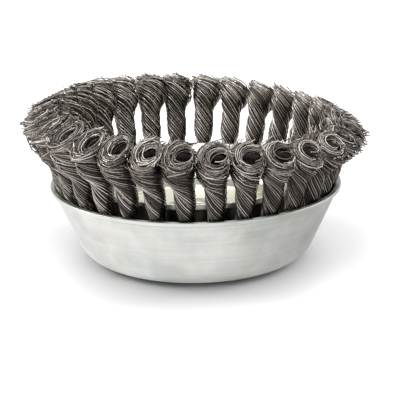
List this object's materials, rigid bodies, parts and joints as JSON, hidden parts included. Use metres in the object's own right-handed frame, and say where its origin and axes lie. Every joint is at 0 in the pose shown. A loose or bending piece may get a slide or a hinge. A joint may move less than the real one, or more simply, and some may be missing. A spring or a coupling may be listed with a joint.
{
  "type": "wire cup brush",
  "caption": "Cup brush of twisted steel wire knots set in a pressed steel cup, with a threaded hub for an angle grinder spindle.",
  "frame": {"origin": "centre of the cup's flat back, on the spindle axis", "axes": "+Z along the spindle axis from the back towards the wire face, -Y towards the viewer of the picture"},
  "size_m": [0.1499, 0.1492, 0.0709],
  "materials": {
    "cup_zinc": "zinc plated sheet steel, satin, lightly stained",
    "plate_zinc": "bright zinc plated sheet steel",
    "holder_steel": "plain punched steel, dull",
    "nut_steel": "zinc plated, turned",
    "knot_wire": "twisted high-carbon wire, dark drawn surface"
  },
  "bodies": {
    "root": {"cup_shell": "cup_zinc", "arbor_nut": "nut_steel", "knot_holder": "holder_steel", "inner_plate": "plate_zinc", "wire_knot_01": "knot_wire", "wire_knot_02": "knot_wire", "wire_knot_03": "knot_wire", "wire_knot_04": "knot_wire", "wire_knot_05": "knot_wire", "wire_knot_06": "knot_wire", "wire_knot_07": "knot_wire", "wire_knot_08": "knot_wire", "wire_knot_09": "knot_wire", "wire_knot_10": "knot_wire", "wire_knot_11": "knot_wire", "wire_knot_12": "knot_wire", "wire_knot_13": "knot_wire", "wire_knot_14": "knot_wire", "wire_knot_15": "knot_wire", "wire_knot_16": "knot_wire", "wire_knot_17": "knot_wire", "wire_knot_18": "knot_wire", "wire_knot_19": "knot_wire", "wire_knot_20": "knot_wire", "wire_knot_21": "knot_wire", "wire_knot_22": "knot_wire", "wire_knot_23": "knot_wire", "wire_knot_24": "knot_wire", "wire_knot_25": "knot_wire", "wire_knot_26": "knot_wire", "wire_knot_27": "knot_wire", "wire_knot_28": "knot_wire", "wire_knot_29": "knot_wire", "wire_knot_30": "knot_wire"}
  },
  "joints": []
}
